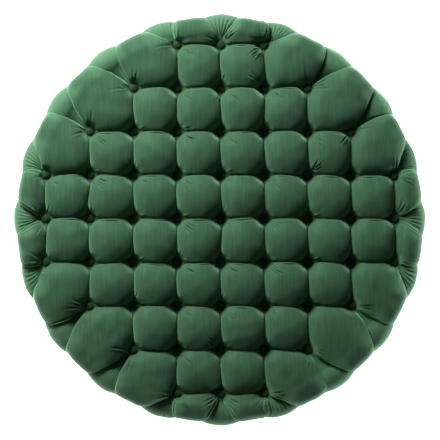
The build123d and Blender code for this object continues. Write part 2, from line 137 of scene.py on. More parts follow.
# Folds that run out from a button: where they start and end, and their width and depth.
SLANT_FOLD = {"near": 0.019, "far": 0.052, "width": 0.0017, "size": 0.0050}
CRIMP = {"near": 0.016, "far": 0.036, "width": 0.0015, "size": 0.0026}
LOBE_FOLD = {"near": 0.016, "far": 0.055, "width": 0.0017, "size": 0.0038}
SIDE_FOLD = {"near": 0.016, "far": 0.05, "width": 0.0016, "size": 0.0013}


def puff(x, power=2.1):
    """1 at a crease, falling to 0 at x = 1, and steepest at the crease like a stuffed pillow's side."""
    inside = np.clip(1 - x, 0, 1) ** power
    return 1 - np.sqrt(np.clip(1 - inside, 0, 1))


def smoothstep(x, low, high):
    """0 up to low, 1 from high on, and a smooth rise between them."""
    t = np.clip((x - low) / (high - low), 0, 1)
    return t * t * (3 - 2 * t)


def curve(x, profile):
    """A smooth line through the (place, value) pairs of a profile."""
    xs, ys = np.array(profile, float).T
    slope = np.gradient(ys, xs)
    x = np.clip(x, xs[0], xs[-1])
    i = np.clip(np.searchsorted(xs, x, side="right") - 1, 0, len(xs) - 2)
    width = xs[i + 1] - xs[i]
    t = (x - xs[i]) / width
    return (
        ys[i] * (1 + 2 * t) * (1 - t) ** 2
        + slope[i] * width * t * (1 - t) ** 2
        + ys[i + 1] * t * t * (3 - 2 * t)
        + slope[i + 1] * width * t * t * (t - 1)
    )


def spread(count, ease):
    """count + 1 values from 0 to 1, closer together near both ends."""
    a = np.linspace(-1, 1, count + 1)
    s = (1 - ease) * a + ease * np.sin(a * math.pi / 2)
    return (s + 1) / 2


def spread_start(count, ease):
    """count + 1 values from 0 to 1, closer together near 0."""
    a = np.linspace(0, 1, count + 1)
    return (1 - ease) * a + ease * (1 - np.cos(a * math.pi / 2))


def away_from(spot, points):
    """Distance of each point of the flat cloth from one place on it."""
    return np.hypot(points[..., 0] - spot[0], points[..., 1] - spot[1])


def groove(off, width):
    """1 on a line, fading over width to each side of it."""
    return np.exp(-((off / width) ** 2))


def lid_surface(flat, height):
    """Folds points of the flat-laid cloth onto the lid's envelope, lifted by height along its normal."""
    q = np.hypot(flat[..., 0], flat[..., 1])
    angle = np.arctan2(flat[..., 1], flat[..., 0])
    a = np.clip((q - FLAT) / SHOULDER, 0, math.pi / 2)
    b = np.clip((q - Q_WIDEST) / FLARE, 0, FLARE_ANGLE * 1.2)
    tilt = a + b
    r = np.minimum(q, FLAT) + SHOULDER * np.sin(a) - FLARE * (1 - np.cos(b))
    z = LID_TOP - SHOULDER * (1 - np.cos(a)) - FLARE * np.sin(b)
    r = r + height * np.sin(tilt)
    z = z + height * np.cos(tilt)
    return np.stack([r * np.cos(angle), r * np.sin(angle), z], -1)


# ---- Buttons, creases and pleats on the flat-laid cloth ------------------------------------------
spots, pits = {}, {}
for i in range(-HALF_GRID, HALF_GRID + 1):
    for j in range(-HALF_GRID, HALF_GRID + 1):
        reach = math.hypot(i, j)
        if reach > GRID_LIMIT:
            continue
        r = reach * PITCH
        q = r if r <= FLAT else FLAT + SHOULDER * math.asin((r - FLAT) / SHOULDER)
        spots[i, j] = np.array([i, j]) * PITCH * (q / r if r else 1)
        edge_z = LID_TOP if r <= FLAT else LID_TOP - SHOULDER * (1 - math.cos((q - FLAT) / SHOULDER))
        pits[i, j] = (SEAT_BORDER if reach > BORDER_LIMIT else SEAT_INNER) + ON_SEAT - edge_z
border = [b for b in spots if math.hypot(*b) > BORDER_LIMIT]
border.sort(key=lambda b: math.atan2(b[1], b[0]) % (2 * math.pi))


def dice(*key):
    """Random numbers that belong to one place on the cloth."""
    return np.random.default_rng([31 + int(k) for k in key])


def crease(a, b, t):
    """The crease between two buttons at t from 0 to 1: points on the flat cloth, and their height."""
    if a > b:
        return crease(b, a, 1 - t)
    start, end = spots[a], spots[b]
    roll = dice(*a, *b)
    along = end - start
    length = np.hypot(*along)
    across = np.array([-along[1], along[0]]) / length
    sway = roll.normal(0, 0.0011) * np.sin(math.pi * t) + roll.normal(0, 0.0008) * np.sin(2 * math.pi * t)
    middle = -CREASE_DEPTH + roll.normal(0, CREASE_VARIES)
    middle -= dome(np.hypot(*(start + end)) / 2)
    height = (
        middle
        + (pits[a] - middle) * np.clip(1 - t * length / REACH, 0, 1) ** 1.7
        + (pits[b] - middle) * np.clip(1 - (1 - t) * length / REACH, 0, 1) ** 1.7
    )
    return start + t[:, None] * along + sway[:, None] * across, height


def dome(q):
    """How far the tops of the pillows fall off from the middle of the lid to its shoulder."""
    return 0.008 * (np.minimum(q, FLAT) / FLAT) ** 2


def pleat(k, side, t):
    """A pleat from border button k out over the lid's shoulder to the seam, on one side of its gusset."""
    b = border[k % LOBES]
    start = spots[b]
    q_start = np.hypot(*start)
    angle_start = math.atan2(start[1], start[0])
    angle_end = (k % LOBES) * STEP
    turn = (angle_end - angle_start + math.pi) % (2 * math.pi) - math.pi
    roll = dice(*b, side, 5)
    q = q_start + (Q_SEAM - q_start) * t
    g = np.clip((q - q_start) / (Q_WIDEST - q_start), 0, 1)
    below = np.clip((q - Q_WIDEST) / (Q_SEAM - Q_WIDEST), 0, 1)
    half = PLEAT_HALF * (1 + roll.normal(0, 0.04)) * g**1.25
    half = half + (PLEAT_SEAM - PLEAT_HALF) * below**0.9
    sway = roll.normal(0, 0.002) * np.sin(math.pi * g)
    angle = angle_start + turn * np.sin(g * math.pi / 2) + side * half + sway
    points = np.stack([q * np.cos(angle), q * np.sin(angle)], -1)
    away = np.hypot(*(points - start).T)
    run = curve(g + below, PLEAT_PROFILE)
    height = run + (pits[b] - run) * puff(away / 0.045)
    return points, height


# ---- Patches ------------------------------------------------------------------------------------
def coons(left, right, inner, outer, u, v):
    """Points inside four edges of the flat cloth. left and right run along v, inner and outer along u."""
    uu, vv = u[None, :, None], v[:, None, None]
    corners = (
        (1 - uu) * (1 - vv) * left[0]
        + uu * (1 - vv) * right[0]
        + (1 - uu) * vv * left[-1]
        + uu * vv * right[-1]
    )
    return (
        (1 - uu) * left[:, None]
        + uu * right[:, None]
        + (1 - vv) * inner[None]
        + vv * outer[None]
        - corners
    )


def share_along(steps):
    """Places from 0 to 1 along a line, from the lengths of its steps."""
    run = np.concatenate([[0], np.cumsum(steps)])
    return run / run[-1]


def half_between(left, right):
    """Half the distance between matching points of two edges."""
    return np.hypot(*(right[0] - left[0]).T) / 2


def nearest(points, line, values):
    """Distance from each point to a line of short straight runs, and the line's value there."""
    flat = points.reshape(-1, 2)
    a, b = line[:-1], line[1:]
    run = b - a
    size = np.maximum((run**2).sum(1), 1e-18)
    t = np.clip(((flat[:, None] - a) * run).sum(-1) / size, 0, 1)
    gap = flat[:, None] - (a + t[..., None] * run)
    distance = np.sqrt((gap**2).sum(-1))
    best = distance.argmin(1)
    rows = np.arange(len(flat))
    t = t[rows, best]
    value = values[best] * (1 - t) + values[best + 1] * t
    shape = points.shape[:-1]
    return distance[rows, best].reshape(shape), value.reshape(shape)


def wall(gap, reach, power, tight):
    """1 at a crease to 0 at its reach. A tight crease dips gently, and then sharply at the last."""
    x = np.clip(gap / reach, 0, 1)
    round_off = np.sqrt(1 - (1 - x) ** power)
    sharp = np.sqrt(1 - (1 - np.clip(gap / FOLD_REACH, 0, 1)) ** 2)
    folded = (1 - FOLD_SHARE) * (1 - (1 - x) ** 1.8) + FOLD_SHARE * sharp
    keep = round_off + tight * (folded - round_off)
    return np.clip(1 - keep**2, 0, 1) ** (1 / power)


def pillow(points, top, edges, power=2.0, corner=3.5):
    """Height of a stuffed lobe, and each point's gap to each edge.

    The edges are (line, heights, reach, tight), and the lobe drops to a line's heights along it.
    """
    weight = np.full(points.shape[:-1], 1e-9)
    total = np.zeros(points.shape[:-1])
    out = np.zeros(points.shape[:-1])
    gaps = []
    for line, heights, reach, tight in edges:
        gap, value = nearest(points, line, heights)
        f = puff(gap / reach) ** 2 / (gap + 2e-4)
        weight += f
        total += f * value
        out += wall(gap, reach, power, tight) ** corner
        gaps.append(gap)
    out = np.clip(out, 0, 1) ** (1 / corner)
    keep = np.sqrt(1 - out**power)
    return top * keep + (total / weight) * (1 - keep), gaps


def sink_at_buttons(points, height, spots_there, pits_there, seat=0.0112, mouth=0.027):
    """Draws the cloth down round each button in a funnel."""
    for spot, pit in zip(spots_there, pits_there):
        gap = away_from(spot, points)
        x = np.clip((gap - seat) / (mouth - seat), 0, 1)
        height = height + (pit - height) * (1 - np.sqrt(1 - (1 - x) ** 2))
    return height


def off_crease(gap):
    """0 in a crease and 1 a few millimetres out of it, which keeps small folds from opening the crease."""
    return smoothstep(gap, 0.0, 0.006)


def ripple(points, roll, size=0.0003):
    """Slow, shallow unevenness of hand-stuffed padding."""
    out = np.zeros(points.shape[:-1])
    for _ in range(5):
        way = roll.uniform(0, math.pi)
        wave = roll.uniform(0.030, 0.060)
        along = points[..., 0] * math.cos(way) + points[..., 1] * math.sin(way)
        out += np.sin(along / wave * 2 * math.pi + roll.uniform(0, ANY_PHASE))
    return out * size / 2


def ray_folds(points, spot, headings, roll, near, far, width, size):
    """Short grooves that run out from a button."""
    dx, dy = points[..., 0] - spot[0], points[..., 1] - spot[1]
    away = np.hypot(dx, dy)
    angle = np.arctan2(dy, dx)
    out = np.zeros(points.shape[:-1])
    for heading in headings:
        start = near * roll.uniform(0.85, 1.2)
        end = far * roll.uniform(0.75, 1.15)
        bend = roll.normal(0, 1.2)
        turn = (angle - heading - bend * (away - start) + math.pi) % (2 * math.pi) - math.pi
        off = away * turn
        ahead = np.abs(turn) < 1
        shape = groove(off, width) - 0.55 * groove(off - 2.1 * width, width)
        fade = smoothstep(away, start * 0.8, start * 1.2) * (1 - smoothstep(away, end * 0.65, end))
        out -= np.where(ahead, shape * fade, 0) * size * roll.uniform(0.6, 1.2)
    return out


class Cloth:
    """Collects patches and welds them into one mesh."""

    def __init__(self):
        self.points, self.faces, self.count = [], [], 0

    def patch(self, grid, flip=False):
        rows, columns = grid.shape[:2]
        index = np.arange(rows * columns).reshape(rows, columns) + self.count
        quads = np.stack([index[:-1, :-1], index[:-1, 1:], index[1:, 1:], index[1:, :-1]], -1)
        if flip:
            quads = quads[..., ::-1]
        self.points.append(grid.reshape(-1, 3))
        self.faces.append(quads.reshape(-1, 4))
        self.count += rows * columns

    def mesh(self, name):
        points = np.concatenate(self.points)
        faces = np.concatenate(self.faces)
        key = np.round(points / 2e-5).astype(np.int64)
        _, first, back = np.unique(key, axis=0, return_index=True, return_inverse=True)
        points, faces = points[first], back.reshape(-1)[faces]
        data = bpy.data.meshes.new(name)
        polygons = []
        for face in faces.tolist():
            ring = [v for n, v in enumerate(face) if v != face[n - 1]]
            if len(set(ring)) >= 3 and len(set(ring)) == len(ring):
                polygons.append(ring)
        data.from_pydata(points.tolist(), [], polygons)
        data.validate()
        data.polygons.foreach_set("use_smooth", np.ones(len(data.polygons), bool))
        data.update()
        thing = bpy.data.objects.new(name, data)
        bpy.context.scene.collection.objects.link(thing)
        return thing


# ---- Lid: the forty square tufts -----------------------------------------------------------------
CELL = 70  # faces along each side of a tuft
CRIMP_ODDS, TUCK_ODDS = 0.5, 0.7
CORNER_HEADINGS = (45, 135, -45, -135)  # degrees, from a tuft's corners to its middle
SLANT_HEADINGS = (45, 135, -42, -135)
TUCK_PLACE, TUCK_SWAY, TUCK_DEPTH, TUCK_WIDTH = 0.0052, 0.0014, 0.0034, 0.0013
front_tufts, rear_tufts = Cloth(), Cloth()
cell_t = spread(CELL, 0.75)


def lay_tuft(i, j):
    """The pillow between button (i, j) and the three to its right and behind it."""
    a, b, c, d = (i, j), (i + 1, j), (i, j + 1), (i + 1, j + 1)
    roll = dice(i, j, 77)
    lines = [crease(a, c, cell_t), crease(b, d, cell_t), crease(a, b, cell_t), crease(c, d, cell_t)]
    points = coons(lines[0][0], lines[1][0], lines[2][0], lines[3][0], cell_t, cell_t)
    top = -dome(away_from(CENTRE, points)) + roll.normal(0, 0.0010)
    corners = [spots[n] for n in (a, b, c, d)]
    tight = smoothstep(np.minimum.reduce([away_from(spot, points) for spot in corners]), *LOOSENS)
    # The last two edges run from side to side, and only they are drawn tight.
    edges = [(*line, REACH, tight * (n >= 2)) for n, line in enumerate(lines)]
    height, gaps = pillow(points, top, edges)
    height = sink_at_buttons(points, height, corners, [pits[n] for n in (a, b, c, d)])
    clear = off_crease(np.minimum.reduce(gaps))
    height += ripple(points, roll) * clear
    # Short slanting folds from the corners, most of them at the rear left, and above all in one column.
    slant_odds = (0.05, 0.08, 0.95 if i == -1 else 0.45, 0.12)
    for spot, heading, odds in zip(corners, SLANT_HEADINGS, slant_odds):
        if roll.random() < odds:
            number = roll.integers(1, 4)
            headings = np.radians(heading + roll.normal(0, 4) + (np.arange(number) - (number - 1) / 2) * 11)
            height += ray_folds(points, spot, headings, roll, **SLANT_FOLD) * clear
    # Small crimps that leave the buttons beside the creases.
    for spot, heading in zip(corners, CORNER_HEADINGS):
        sides = [side * roll.uniform(26, 38) for side in (-1, 1) if roll.random() < CRIMP_ODDS]
        headings = [math.radians(heading + side) for side in sides]
        height += ray_folds(points, spot, headings, roll, **CRIMP) * clear
    # A tuck along the rear edge, where the cloth is folded under its neighbour.
    if roll.random() < TUCK_ODDS:
        s = (points[..., 0] - (corners[0][0] + corners[1][0]) / 2) / (PITCH / 2)
        centre, reach = roll.uniform(-0.4, 0.3), roll.uniform(0.4, 0.9)
        place = TUCK_PLACE + TUCK_SWAY * np.sin(2 * s + roll.uniform(0, 6))
        fade = 1 - smoothstep(np.abs(s - centre), reach * 0.1, reach)
        height -= TUCK_DEPTH * groove(gaps[3] - place, TUCK_WIDTH) * fade
    cloth = rear_tufts if j >= 0 else front_tufts
    cloth.patch(lid_surface(points, height))


for i, j in spots:
    if all(corner in spots for corner in ((i + 1, j), (i, j + 1), (i + 1, j + 1))):
        lay_tuft(i, j)
lid_front = front_tufts.mesh("lid_cover_front")
lid_rear = rear_tufts.mesh("lid_cover_rear")

# ---- Lid: the outer lobes and the gussets between them --------------------------------------------
ALONG, INWARD = 88, 30  # faces along a pleat, and along the crease that leads to it
ACROSS, FAN = 44, 36  # faces across a lobe, and across a gusset
SECOND_FOLD_DEPTH, SECOND_FOLD_WIDTH = 0.0034, 0.0017
SECOND_FOLD_ODDS, LOBE_FOLD_ODDS = 0.8, 0.65
FAN_DEPTH, FAN_SHARE = 0.0024, 0.27  # depth of a fan's fine pleats, at most and as a share of their width
outer_front, outer_rear = Cloth(), Cloth()
pleat_t = spread_start(ALONG, 0.35)
lobe_u = spread(ACROSS, 0.85)
fan_u = spread(FAN, 0.7)


def lobe_reach(points, width):
    """An outer lobe is round where it is deep, and flatter towards the lid's widest line."""
    q = away_from(CENTRE, points)
    most = REACH - 0.036 * smoothstep(q, FLAT - 0.01, Q_WIDEST)
    return np.minimum(np.maximum(width, 0.010)[:, None], most)


def seam_arc(first, last, u):
    """Points on the seam line between two angles."""
    angle = first + (last - first) * u
    return np.stack([Q_SEAM * np.cos(angle), Q_SEAM * np.sin(angle)], -1)


def settle_at_seam(points, height):
    """Brings every lobe and pleat to one line where the cover is sewn to the piping."""
    q = away_from(CENTRE, points)
    loose = 1 - smoothstep(q, Q_SEAM - 0.014, Q_SEAM)
    return height * loose - 0.0008 * (1 - loose)


def gathers(points, q_from, q_to, pitch, size, roll):
    """Small upright puckers between two heights on the lid's side."""
    q = away_from(CENTRE, points)
    angle = np.arctan2(points[..., 1], points[..., 0])
    fade = smoothstep(q, q_from, q_from + (q_to - q_from) * 0.7)
    phase = roll.uniform(0, ANY_PHASE)
    wave = np.sin(angle * Q_SEAM / pitch * 2 * math.pi + phase + 0.9 * np.sin(angle * 37 + phase))
    return wave * fade * size


def lay_lobe(k):
    """The lobe between border buttons k and k + 1, from the tufts out over the shoulder to the seam."""
    first, second = border[k], border[(k + 1) % LOBES]
    roll = dice(k, 11)
    pleat_a, pleat_b = pleat(k, 1, pleat_t), pleat(k + 1, -1, pleat_t)
    step = (second[0] - first[0], second[1] - first[1])
    seam_start = math.atan2(pleat_a[0][-1][1], pleat_a[0][-1][0])
    seam = seam_arc(seam_start, seam_start + STEP - 2 * PLEAT_SEAM, lobe_u)
    seam[-1] = pleat_b[0][-1]
    if 0 in step:  # the crease between the two buttons closes the lobe
        inner, inner_height = crease(first, second, lobe_u)
        left, right = pleat_a, pleat_b
        v = share_along(np.hypot(*np.diff(left[0], axis=0).T))
        points = coons(left[0], right[0], inner, seam, lobe_u, v)
        reach = lobe_reach(points, half_between(left, right))
        edges = [(*left, reach, True), (*right, reach, True), (inner, inner_height, REACH, step[1] == 0)]
        pit_list = [first, second]
    else:  # the lobe runs in to the button behind
        corner = min((first[0], second[1]), (second[0], first[1]), key=lambda c: math.hypot(*c))
        t_in = spread(INWARD, 0.8)
        left_in, right_in = crease(corner, first, t_in), crease(corner, second, t_in)
        left = tuple(np.concatenate([left_in[n], pleat_a[n][1:]]) for n in (0, 1))
        right = tuple(np.concatenate([right_in[n], pleat_b[n][1:]]) for n in (0, 1))
        v = share_along(np.hypot(*np.diff(left[0], axis=0).T))
        inner = np.repeat(spots[corner][None], ACROSS + 1, 0)
        points = coons(left[0], right[0], inner, seam, lobe_u, v)
        width = half_between(left, right)
        width[: INWARD + 1] = REACH
        reach = lobe_reach(points, width)
        edges = [(*side, REACH, False) for side in (left_in, right_in)]
        edges += [(*side, reach, True) for side in (pleat_a, pleat_b)]
        pit_list = [corner, first, second]
    q = away_from(CENTRE, points)
    top = np.where(q < FLAT, -dome(q), curve(q, LOBE_PROFILE)) + roll.normal(0, 0.0008)
    height, gaps = pillow(points, top, edges)
    height = sink_at_buttons(points, height, [spots[n] for n in pit_list], [pits[n] for n in pit_list])
    clear = off_crease(np.minimum.reduce(gaps))
    height += ripple(points, roll, 0.0004) * clear
    # A second, fainter fold beside the lobe's first two edges, out beyond their buttons.
    for gap, button in zip(gaps[:2], (first, second)):
        if roll.random() < SECOND_FOLD_ODDS:
            away = away_from(spots[button], points)
            beyond = q > np.hypot(*spots[button]) - 0.004
            place = 0.0060 + 0.05 * away * roll.uniform(0.5, 1.3)
            fade = smoothstep(away, 0.018, 0.03) * (1 - smoothstep(away, 0.07, roll.uniform(0.09, 0.14)))
            fold = groove(gap - place, SECOND_FOLD_WIDTH) - 0.5 * groove(gap - place - 0.004, 0.002)
            height -= SECOND_FOLD_DEPTH * fold * fade * beyond
    # Folds that run out over the lobe from the buttons at its corners.
    for side, line, button in ((1, left[0], first), (-1, right[0], second)):
        beside = line[-ALONG // 2] - spots[button]
        heading = math.atan2(beside[1], beside[0])
        turns = [t for t in (14, 27, 41) if roll.random() < LOBE_FOLD_ODDS]
        headings = heading + side * np.radians(np.array(turns) + roll.normal(0, 3))
        height += ray_folds(points, spots[button], headings, roll, **LOBE_FOLD) * clear
    height += gathers(points, Q_WIDEST + 0.02, Q_SEAM, 0.012, 0.0007, roll) * clear
    height = settle_at_seam(points, height)
    cloth = outer_rear if k < LOBES // 2 else outer_front
    cloth.patch(lid_surface(points, height), flip=True)


def lay_gusset(k):
    """The gusset below border button k, drawn into a fan of fine pleats."""
    b = border[k]
    roll = dice(k, 23)
    left, right = pleat(k, -1, pleat_t), pleat(k, 1, pleat_t)
    v = share_along(np.hypot(*np.diff(left[0], axis=0).T))
    seam_start = math.atan2(left[0][-1][1], left[0][-1][0])
    seam = seam_arc(seam_start, seam_start + 2 * PLEAT_SEAM, fan_u)
    seam[-1] = right[0][-1]
    inner = np.repeat(spots[b][None], FAN + 1, 0)
    points = coons(left[0], right[0], inner, seam, fan_u, v)
    width = half_between(left, right)
    q = away_from(CENTRE, points)
    q_b = np.hypot(*spots[b])
    g = np.clip((q - q_b) / (Q_WIDEST - q_b), 0, 1) + np.clip((q - Q_WIDEST) / (Q_SEAM - Q_WIDEST), 0, 1)
    top = curve(g, [(0, pits[b] + 0.002), *GUSSET_PROFILE])
    uu = fan_u[None, :] * 2 - 1
    edge = left[1][:, None] * (1 - fan_u) + right[1][:, None] * fan_u
    height = edge + (top - edge) * (1 - uu**2)
    height = sink_at_buttons(points, height, [spots[b]], [pits[b]])
    clear = off_crease(width[:, None] * (1 - np.abs(uu)))
    away = away_from(spots[b], points)
    number = roll.integers(6, 9)
    wave = 2 * width[:, None] / number
    size = np.minimum(FAN_DEPTH, FAN_SHARE * wave) * smoothstep(away, 0.014, 0.026)
    size = size * (1 - smoothstep(away, 0.060, 0.105))
    phase = roll.uniform(0, ANY_PHASE)
    wander = phase + 0.6 * np.sin(away / 0.012)
    height += size * np.cos(math.pi * number * uu + wander) * (1 - np.abs(uu) ** 6)
    height += ripple(points, roll, 0.0003) * clear
    height += gathers(points, Q_WIDEST + 0.015, Q_SEAM, 0.011, 0.0008, roll) * clear
    height = settle_at_seam(points, height)
    cloth = outer_rear if k < LOBES // 2 else outer_front
    cloth.patch(lid_surface(points, height), flip=True)


for k in range(LOBES):
    lay_lobe(k)
for k in range(LOBES):
    lay_gusset(k)

# The cover's edge: round the piping's seat and under the board, gathered where it is stapled.
ROUND = 720
angles = np.linspace(0, 2 * math.pi, ROUND + 1)
rear_half, front_half = slice(0, ROUND // 2 + 1), slice(ROUND // 2, ROUND + 1)


def ring_band(section, loose, size, count, sway, beats):
    """Cloth round a ring, through the (radius, height) points of its section, puckered in its loose rows."""
    pucker = size * (0.5 + 0.5 * np.sin(angles * count + sway * np.sin(angles * beats)))
    rows = []
    for n, (radius, height) in enumerate(section):
        z = height + pucker * (n in loose)
        rows.append(np.stack([radius * np.cos(angles), radius * np.sin(angles), z], -1))
    return np.array(rows)


hem_section = [
    (SEAM_RADIUS - 0.0005, SEAM_Z),
    (SEAM_RADIUS - 0.0010, LID_UNDER + 0.0015),
    (SEAM_RADIUS - 0.0030, LID_UNDER),
    (0.460, LID_UNDER),
    (0.445, LID_UNDER),
    (0.430, LID_UNDER),
    (HEM_RADIUS + 0.001, LID_UNDER),
    (HEM_RADIUS, LID_UNDER + 0.0006),
    (HEM_RADIUS, LID_UNDER + 0.0018),
]
hem = ring_band(hem_section, loose=range(3, 7), size=0.0006, count=90, sway=1.3, beats=7)
outer_rear.patch(hem[:, rear_half])
outer_front.patch(hem[:, front_half])
border_front = outer_front.mesh("lid_border_front")
border_rear = outer_rear.mesh("lid_border_rear")

# ---- Drum: buttoned side --------------------------------------------------------------------------
EDGE = 0.022  # radius of the drum's edges
RIM_SEAM, UNDER_HEM = 0.425, 0.400
W_TOP = 0.043  # flat rim, before the upper edge
W_UP = W_TOP + EDGE * math.pi / 2
W_LOW = W_UP + (DRUM_TOP - DRUM_UNDER - 2 * EDGE)
W_END = W_LOW + EDGE * math.pi / 2
W_BUTTON = W_UP + (DRUM_TOP - EDGE - SIDE_BUTTON_Z)
TURN = DRUM_RADIUS - EDGE


def drum_surface(flat, height):
    """Folds (angle times radius, distance down the section) onto the drum, lifted along its normal."""
    angle = flat[..., 0] / DRUM_RADIUS
    w = flat[..., 1]
    a = np.clip((w - W_TOP) / EDGE, 0, math.pi / 2)
    b = np.clip((w - W_LOW) / EDGE, 0, math.pi / 2)
    down = np.clip(w - W_UP, 0, W_LOW - W_UP)
    r = TURN + EDGE * np.sin(a) - EDGE * (1 - np.cos(b))
    z = DRUM_TOP - EDGE * (1 - np.cos(a)) - down - EDGE * np.sin(b)
    tilt = a + b
    r = r + height * np.sin(tilt)
    z = z + height * np.cos(tilt)
    return np.stack([r * np.cos(angle), r * np.sin(angle), z], -1)


SIDE_PIT = SIDE_SEAT + ON_SEAT - DRUM_RADIUS
SIDE_FUNNEL = {"seat": 0.0085, "mouth": 0.024}
SIDE_CREASE, SIDE_REACH = 0.0130, 0.062  # depth of the drum's pleats, and how far they bend the cloth
WEDGE_SINK = 0.0085  # the wedges between a button's two pleats lie this deep beside it
SIDE_PROFILE = [
    (W_TOP, 0),
    (W_UP, 0.002),
    ((W_UP + W_BUTTON) / 2, 0.004),
    (0.20, 0.0035),
    (W_LOW, 0.001),
    (W_END, 0),
]
UP_HALF = (STEP / 2 - PLEAT_SEAM) * DRUM_RADIUS
DOWN_HALF = math.radians(4.0) * DRUM_RADIUS
N_UP, N_DOWN = 30, 44  # faces up and down from a button
N_WIDE, N_WEDGE = 52, 20  # faces across a panel, and across a wedge between a button's two pleats


def side_pleat(k, side, up, t):
    """A pleat from side button k to the rim (up) or to the lower edge."""
    centre = (k + 0.5) * STEP * DRUM_RADIUS
    end_w, half = (W_TOP, UP_HALF) if up else (W_END, DOWN_HALF)
    roll = dice(k % LOBES, side, up, 9)
    w = W_BUTTON + (end_w - W_BUTTON) * t
    spread_out = t**0.9 if up else t**1.1
    x = centre + side * half * spread_out + roll.normal(0, 0.0012) * np.sin(math.pi * t)
    away = np.abs(w - W_BUTTON)
    run = -SIDE_CREASE * (1 - smoothstep(t, 0.55, 1.0) * 0.75)
    height = run + (SIDE_PIT - run) * puff(away / 0.04)
    return np.stack([x, w], -1), height


def settle_at_ends(points, height):
    """Brings every patch to one line at the flat rim and at the flat underside."""
    w = points[..., 1]
    loose = smoothstep(w, W_TOP, W_TOP + 0.016) * (1 - smoothstep(w, W_END - 0.016, W_END))
    return height * loose - 0.0004 * (1 - loose)


drum = Cloth()
up_t, down_t = spread_start(N_UP, 0.7), spread_start(N_DOWN, 0.7)
wide_u, wedge_u = spread(N_WIDE, 0.85), spread(N_WEDGE, 0.6)
side_spots = [np.array([(k + 0.5) * STEP * DRUM_RADIUS, W_BUTTON]) for k in range(-1, LOBES + 1)]


def join_pleats(k, side):
    """The two pleats of button k on one side, from the rim down to the lower edge."""
    up = side_pleat(k, side, True, up_t)
    down = side_pleat(k, side, False, down_t)
    return tuple(np.concatenate([up[n][::-1], down[n][1:]]) for n in (0, 1))


def straight(left, right, u):
    """Points on the straight line between two places."""
    return left + (right - left) * u[:, None]


def lay_panel(k):
    """The cloth between two of the drum's buttons, from the rim down to the lower edge."""
    roll = dice(k, 41)
    left, right = join_pleats(k - 1, 1), join_pleats(k, -1)
    v = share_along(np.abs(np.diff(left[0][:, 1])))
    upper, lower = (straight(left[0][end], right[0][end], wide_u) for end in (0, -1))
    points = coons(left[0], right[0], upper, lower, wide_u, v)
    top = curve(points[..., 1], SIDE_PROFILE)
    height, gaps = pillow(points, top, [(*side, SIDE_REACH, False) for side in (left, right)], power=2.6)
    near = [side_spots[k], side_spots[k + 1]]
    height = sink_at_buttons(points, height, near, [SIDE_PIT] * 2, **SIDE_FUNNEL)
    clear = off_crease(np.minimum.reduce(gaps))
    height += ripple(points, roll, 0.0009) * clear
    for spot, base_heading in zip(near, (0, 180)):
        headings = np.radians(base_heading + roll.normal(0, 6) + np.array([-34, -14, 12, 33]))
        height += ray_folds(points, spot, headings, roll, **SIDE_FOLD) * clear
    height = settle_at_ends(points, height)
    drum.patch(drum_surface(points, height))


def lay_wedges(k):
    """The two wedges of cloth above and below button k, between its pleats."""
    roll = dice(k, 43)
    for up in (True, False):
        t = up_t if up else down_t
        left, right = side_pleat(k, -1, up, t), side_pleat(k, 1, up, t)
        spot = side_spots[k + 1]
        inner = np.repeat(spot[None], N_WEDGE + 1, 0)
        points = coons(left[0], right[0], inner, straight(left[0][-1], right[0][-1], wedge_u), wedge_u, t)
        half = np.abs(right[0][:, 0] - left[0][:, 0])[:, None] / 2 * np.ones(N_WEDGE + 1)
        away = np.abs(points[..., 1] - W_BUTTON)
        top = -WEDGE_SINK + WEDGE_SINK * smoothstep(away, 0.01, 0.085 if up else 0.12)
        top = top + (SIDE_PIT + WEDGE_SINK) * puff(away / 0.03)
        reach = np.maximum(half, 0.0015)
        height, gaps = pillow(points, top, [(*side, reach, False) for side in (left, right)], power=2.2)
        height = sink_at_buttons(points, height, [spot], [SIDE_PIT], **SIDE_FUNNEL)
        uu = wedge_u[None, :] * 2 - 1
        number = roll.integers(3, 5)
        size = np.minimum(0.0010, 0.13 * 2 * half / number)
        size = size * smoothstep(away, 0.012, 0.024) * (1 - smoothstep(away, 0.05, 0.10))
        height += size * np.cos(math.pi * number * uu + roll.uniform(0, ANY_PHASE)) * (1 - np.abs(uu) ** 6)
        height = settle_at_ends(points, height)
        drum.patch(drum_surface(points, height), flip=up)


for k in range(LOBES):
    lay_panel(k)
for k in range(LOBES):
    lay_wedges(k)

# The flat rim under the lid, and the edge stapled under the drum.
rim_section = [
    (RIM_SEAM, DRUM_TOP - 0.0008),
    (RIM_SEAM + 0.0008, DRUM_TOP),
    (0.432, DRUM_TOP),
    (0.445, DRUM_TOP),
    (0.458, DRUM_TOP),
    (TURN, DRUM_TOP - 0.0004),
]
under_section = [
    (TURN, DRUM_UNDER + 0.0004),
    (0.455, DRUM_UNDER),
    (0.440, DRUM_UNDER),
    (0.425, DRUM_UNDER),
    (0.410, DRUM_UNDER),
    (UNDER_HEM + 0.001, DRUM_UNDER),
    (UNDER_HEM, DRUM_UNDER + 0.0012),
]
drum.patch(ring_band(rim_section, loose=range(1, 5), size=-0.0004, count=80, sway=1.1, beats=9), flip=True)
drum.patch(ring_band(under_section, loose=range(1, 6), size=0.0005, count=85, sway=1.4, beats=11), flip=True)
drum_cover = drum.mesh("drum_cover")

lid_pieces = (lid_front, lid_rear, border_front, border_rear)
for piece in lid_pieces:
    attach(piece, "lid")
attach(drum_cover, "drum")
for piece in lid_pieces:
    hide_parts("lid_cover", "lid_foam")
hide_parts("base_cover", "base_foam")


# ---- Materials ------------------------------------------------------------------------------------
GUSSET_SHEEN_COLOUR = (0.085, 0.200, 0.105)  # the lighter green of a painted sheen on the lid's gussets
GUSSET_SHEEN_RADII, GUSSET_SHEEN_HEIGHTS = (0.430, 0.474), (0.372, 0.402)  # the painted sheen fades in between the two values of each pair
GUSSET_SHEEN_WAVE = (-0.75, 0.05)  # and of a wave that peaks at each gusset
GUSSET_SHEEN_MOST = 0.42


